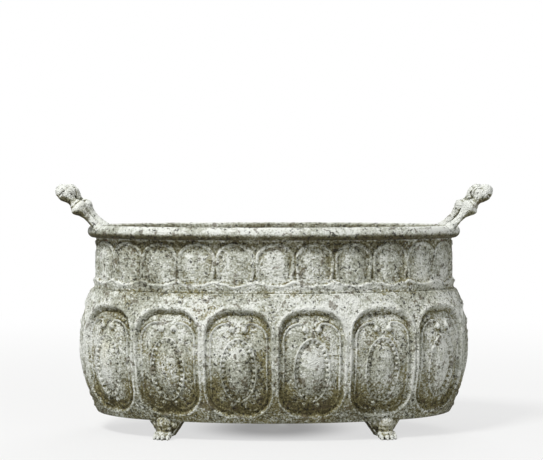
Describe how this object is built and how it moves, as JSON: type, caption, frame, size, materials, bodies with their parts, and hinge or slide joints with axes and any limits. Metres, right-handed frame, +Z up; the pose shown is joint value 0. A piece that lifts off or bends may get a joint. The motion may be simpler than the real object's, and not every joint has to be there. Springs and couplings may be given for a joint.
{
  "type": "trough planter",
  "caption": "Oval cast-iron trough planter with a swelling body of recessed oval cartouches, arched neck, round rim, fixed end handles and paw feet, in old white paint.",
  "frame": {"origin": "centre of the footprint, on the floor under the feet", "axes": "+X along the length to the right-hand handle, +Y to the back, +Z up"},
  "size_m": [0.7324, 0.382, 0.418],
  "materials": {
    "body_paint": "old white paint over rough castings, speckled and stained",
    "rim_paint": "cleaner old white paint on the bead and the handles",
    "inner_iron": "dull bare iron with soil stains",
    "bolt_iron": "rusted iron fasteners"
  },
  "bodies": {
    "root": {"front_panel": "body_paint", "back_panel": "body_paint", "left_panel": "body_paint", "right_panel": "body_paint", "neck_front": "body_paint", "neck_back": "body_paint", "waist_moulding": "body_paint", "foot_front_left": "body_paint", "foot_front_right": "body_paint", "foot_back_left": "body_paint", "foot_back_right": "body_paint", "rim_ring": "rim_paint", "handle_left": "rim_paint", "handle_right": "rim_paint", "base_plate_left": "inner_iron", "base_plate_right": "inner_iron", "panel_bolts": "bolt_iron", "panel_nuts": "bolt_iron", "neck_bolts": "bolt_iron", "neck_nuts": "bolt_iron", "rim_screws": "bolt_iron", "foot_bolts": "bolt_iron", "foot_washers": "bolt_iron", "handle_bolts": "bolt_iron"}
  },
  "joints": []
}
